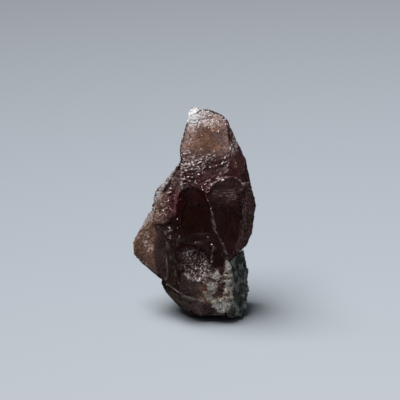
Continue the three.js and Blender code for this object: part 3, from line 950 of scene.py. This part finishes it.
# Ovals on the front of the crust: x and z of the middle, half width, half height.
CRUST_PATCHES = [(5.8, 9.0, 0.85, 1.7), (5.2, 7.1, 1.1, 1.2), (5.6, 4.8, 0.7, 1.4), (4.5, 2.3, 1.9, 1.5),
                 (3.7, 7.9, 0.8, 1.0), (2.9, 6.0, 1.0, 1.2), (2.1, 4.5, 0.9, 1.3)]
CRUST_GAP = [(4.35, 9.2, 0.6, 1.2)]
CRUST_PINK = [(3.7, 7.0, 1.5, 1.8)]
CRUST_BROWN = [(2.4, 4.9, 1.8, 1.7)]
CRUST_PIT = [(3.6, 4.3, 0.9, 0.8)]
CRUST_WHITE = [(5.7, 8.9, 1.0, 2.0), (4.4, 2.3, 1.9, 1.6), (3.7, 8.0, 0.8, 1.0), (2.6, 6.1, 0.9, 0.9),
               (5.2, 6.2, 0.6, 1.2)]
FELDSPAR_STAINS = [(0.34, (0.04, 0.025, 0.012)), (0.41, (0.28, 0.17, 0.10)), (0.48, (0.60, 0.46, 0.36)),
                   (0.56, (0.84, 0.74, 0.64)), (0.66, (0.96, 0.93, 0.86))]
FELDSPAR_PINK = (0.66, 0.42, 0.39)
FELDSPAR_BROWN = (0.32, 0.19, 0.12)
FELDSPAR_WHITE = (0.93, 0.91, 0.86)
CRACK_DARK = (0.07, 0.06, 0.045)
STAIN_WAVES = 1300
CHALK_WAVES = 3300
SUGAR_WAVES = 3200
SUGAR_CELLS = 4200
SUGAR_DEPTH = 0.00012


def oval_cover(points, ovals):
    """Greatest cover by any of the ovals (x, z, half width, half height): 1 at a middle, 0 at its
    edge, below 0 beyond."""
    cover = np.full(len(points), -2.0)
    for x, z, wide, tall in ovals:
        apart = np.hypot((points[:, 0] - x) / wide, (points[:, 2] - z) / tall)
        cover = np.maximum(cover, 1 - apart)
    return cover


start, way = ray_fan(CRUST_COLUMNS, CRUST_ROWS, CRUST_SPINE, turn_low=-35, turn_high=35, crowding=0.45)
to_foot, _ = cast_to_hull(start, way, hulls["foot"])
to_limit, _ = cast_to_hull(start, way, hull_planes(CRUST))
grains = start + way * np.minimum(to_foot, to_limit)[:, None]
ragged = 0.46 * layered(grains, 1.0, 4, 6) + 0.34 * layered(grains, 0.4, 2, 7)
gap = np.clip(2 * oval_cover(grains, CRUST_GAP), 0, 1)
cover = oval_cover(grains, CRUST_PATCHES) + ragged - gap
_, number, border = shards(grains, 0.26, 5)
_, coarse, _ = shards(grains, 0.75, 15)
lift = 0.42 * fade(cover, -0.05, 0.55) - 0.30 * (1 - fade(cover, -0.25, 0.05)) - 2.6 * gap
rough = 0.10 * (coarse[:, 0] - 0.8) + 0.12 * fade(border, 0.0, 0.35) * number[:, 1]
rough += chipped_facets(grains, 0.55, 0.5, 16) + chipped_facets(grains, 0.26, 1.0, 17)
rough += 0.14 * layered(grains, 0.5, 3, 8)
grains = start + way * np.maximum(np.minimum(to_foot + lift, to_limit) + rough, 0.15)[:, None]
crust, used = fan_mesh("sugary_crust", grains, CRUST_COLUMNS, CRUST_ROWS)
crust.data.set_sharp_from_angle(angle=np.radians(40))

pinkness = oval_cover(grains, CRUST_PINK)
brownness = oval_cover(grains, CRUST_BROWN)
bleached = oval_cover(grains, CRUST_WHITE)
cracks = np.maximum(1 - fade(border, 0.02, 0.30), 1.5 * oval_cover(grains, CRUST_PIT))
for name, values in {"pinkness": pinkness * 1.4, "brownness": brownness * 1.5, "cracks": cracks,
                     "grain": number[:, 2], "bleached": bleached * 1.8}.items():
    store(crust, name, np.clip(values, 0, 1)[used])

feldspar, tree, shader, place = new_finish("stained_feldspar")
colour = ramp(tree, noise(tree, place, STAIN_WAVES, 4, 0.62), FELDSPAR_STAINS)
colour = toward(tree, colour, times(tree, reading(tree, "pinkness"), 0.55), FELDSPAR_PINK)
colour = toward(tree, colour, times(tree, reading(tree, "brownness"), 0.65), FELDSPAR_BROWN)
spotty = times(tree, plus(tree, noise(tree, place, CHALK_WAVES, 3, 0.6), -0.42), 8.0, held=True)
colour = toward(tree, colour, times(tree, reading(tree, "bleached"), spotty), FELDSPAR_WHITE)
colour = toward(tree, colour, times(tree, reading(tree, "cracks"), 0.70), CRACK_DARK)
tree.links.new(colour, shader.inputs["Base Color"])
worn = times(tree, noise(tree, place, 2600, 2), 0.5)
tree.links.new(plus(tree, 0.32, worn), shader.inputs["Roughness"])
bumped(tree, shader, noise(tree, place, SUGAR_WAVES, 3), 0.7, SUGAR_DEPTH,
       glitter(tree, place, SUGAR_CELLS, times(tree, reading(tree, "grain"), 0.5)))
crust.data.materials.append(feldspar)

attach(crust, "root")
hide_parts("feldspar_crust")


# ------------------------------------------------------------
# Green host rock. A broken scrap of dark grey-green chlorite rock at the right of the foot, torn
# off with the crystal and still grown fast to it, dusted with pale crushed feldspar.
# ------------------------------------------------------------
ROCK = [
    (6.3, -2.8, 10.1), (8.1, 0.6, 9.7), (5.4, -4.6, 9.2), (5.4, -5.4, 3.4), (8.7, -1.8, 1.2),
    (8.9, -1, 4.1), (8.7, -0.6, 6.8), (8, 3.5, 8.6), (8.4, 5, 6.5), (5.4, 5.4, 7.5),
    (5.4, -5.2, 0.4), (7.7, -4.2, 0.3), (8.7, 0.5, 0.2), (8.6, 4.5, 0.3), (5.4, -3.4, -STAND),
    (7.4, -2.8, -STAND), (8.4, 0.6, -STAND), (8.4, 4.2, -STAND), (5.4, 4.3, -STAND)]
ROCK_COLUMNS = 230
ROCK_ROWS = 200
ROCK_SPINE = [(6.9, -0.5, 2.4), (6.8, -0.2, 7)]
ROCK_PALE_SPOT = [(8.3, 6.2, 0.6, 1.6)]
SLAB_STRETCH = np.array((1.5, 1.0, 0.55))  # its larger breaks are narrow and tall
ROCK_GREENS = [(0.32, (0.026, 0.029, 0.023)), (0.48, (0.072, 0.077, 0.062)),
               (0.60, (0.135, 0.137, 0.115)), (0.76, (0.32, 0.31, 0.26))]
DUST_GREY = (0.50, 0.50, 0.47)
GREEN_WAVES = 800
DUST_WAVES = 2400
GRAIN_WAVES = 2600
GRAIN_DEPTH = 0.0001

start, way = ray_fan(ROCK_COLUMNS, ROCK_ROWS, ROCK_SPINE, turn_low=-30, turn_high=30, crowding=0.45)
out, _ = cast_to_hull(start, way, hull_planes(ROCK))
lumps = start + way * out[:, None]
standing = lumps[:, 2] < 0.05 - STAND
lift = 0.20 * layered(lumps, 2.4, 4, 7) + chipped_facets(lumps * SLAB_STRETCH, 0.90, 0.50, 8)
lift += chipped_facets(lumps, 0.36, 0.45, 9) + 0.05 * layered(lumps, 0.4, 2, 10) - 0.26
lumps = lumps + way * (lift * ~standing)[:, None]
lumps[:, 2] = np.clip(lumps[:, 2], -STAND, None)
rock, used = fan_mesh("host_rock", lumps, ROCK_COLUMNS, ROCK_ROWS)
rock.data.set_sharp_from_angle(angle=np.radians(35))

dust = fade(layered(lumps, 0.8, 4, 12), 0.0, 0.7)
dust += 0.9 * fade(lumps[:, 2], 8.6, 10.0) * fade(-lumps[:, 0], -7.4, -6.0)
dust += fade(-lumps[:, 0], -6.6, -6.0) * fade(lumps[:, 2], 1.0, 2.5) * fade(-lumps[:, 2], -8.0, -6.5)
dust += 0.8 * np.clip(oval_cover(lumps, ROCK_PALE_SPOT), 0, 1)
store(rock, "dust", np.clip(dust, 0, 1)[used])

chlorite, tree, shader, place = new_finish("chlorite_rock")
colour = ramp(tree, noise(tree, place, GREEN_WAVES, 6, 0.68), ROCK_GREENS)
dusty = times(tree, reading(tree, "dust"), noise(tree, place, DUST_WAVES, 2))
colour = toward(tree, colour, dusty, DUST_GREY)
tree.links.new(colour, shader.inputs["Base Color"])
worn = times(tree, noise(tree, place, 1800, 2), 0.5)
tree.links.new(plus(tree, 0.40, worn), shader.inputs["Roughness"])
bumped(tree, shader, noise(tree, place, GRAIN_WAVES, 4), 0.6, GRAIN_DEPTH)
rock.data.materials.append(chlorite)

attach(rock, "root")
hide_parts("green_matrix")
